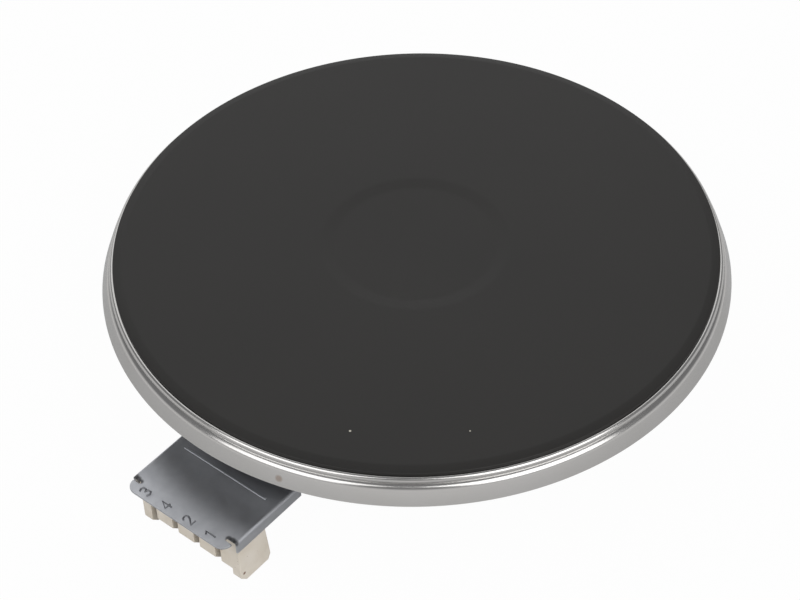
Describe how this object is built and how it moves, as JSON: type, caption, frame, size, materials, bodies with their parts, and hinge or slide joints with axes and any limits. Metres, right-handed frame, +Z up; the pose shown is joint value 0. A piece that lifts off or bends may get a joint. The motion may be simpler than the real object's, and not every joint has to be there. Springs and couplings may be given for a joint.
{
  "type": "cast-iron hotplate",
  "caption": "Round cast-iron hotplate with a polished spill ring, embedded heating coils, a centre fixing stud and a ceramic terminal block on a side bracket.",
  "frame": {"origin": "on the plate's vertical axis, level with the hob's surface, where the spill ring's foot stands", "axes": "+Z up, out of the cooking surface; the terminal bracket reaches out along -Y"},
  "size_m": [0.23, 0.2471, 0.0559],
  "materials": {
    "cast_iron": "matt black heat-resisting coating",
    "stainless": "polished stainless steel",
    "coil_wire": "oxidised resistance wire",
    "compound": "pressed insulating powder, matt",
    "nickel": "flat nickel strip",
    "cover_sheet": "aluminised sheet steel",
    "bush_ceramic": "unglazed steatite",
    "plated_steel": "zinc-plated steel",
    "galvanised": "galvanised sheet steel",
    "block_ceramic": "unglazed cream steatite",
    "contact": "rolled brass, dull"
  },
  "bodies": {
    "root": {"hotplate_body": "cast_iron", "spill_ring": "stainless", "heating_coil_inner": "coil_wire", "heating_coil_middle": "coil_wire", "heating_coil_outer": "coil_wire", "embedding_compound": "compound", "common_link": "nickel", "bottom_cover": "cover_sheet", "lead_bush": "bush_ceramic", "centre_stud": "plated_steel", "stud_nut": "plated_steel", "terminal_bracket": "galvanised", "terminal_block": "block_ceramic", "earth_nut": "plated_steel", "earth_screw": "plated_steel", "lead_1": "nickel", "contact_bar_1": "contact", "clamp_washer_1": "plated_steel", "terminal_screw_1": "plated_steel", "lead_2": "nickel", "contact_bar_2": "contact", "clamp_washer_2": "plated_steel", "terminal_screw_2": "plated_steel", "lead_3": "nickel", "contact_bar_3": "contact", "clamp_washer_3": "plated_steel", "terminal_screw_3": "plated_steel", "lead_4": "nickel", "contact_bar_4": "contact", "clamp_washer_4": "plated_steel", "terminal_screw_4": "plated_steel"}
  },
  "joints": []
}
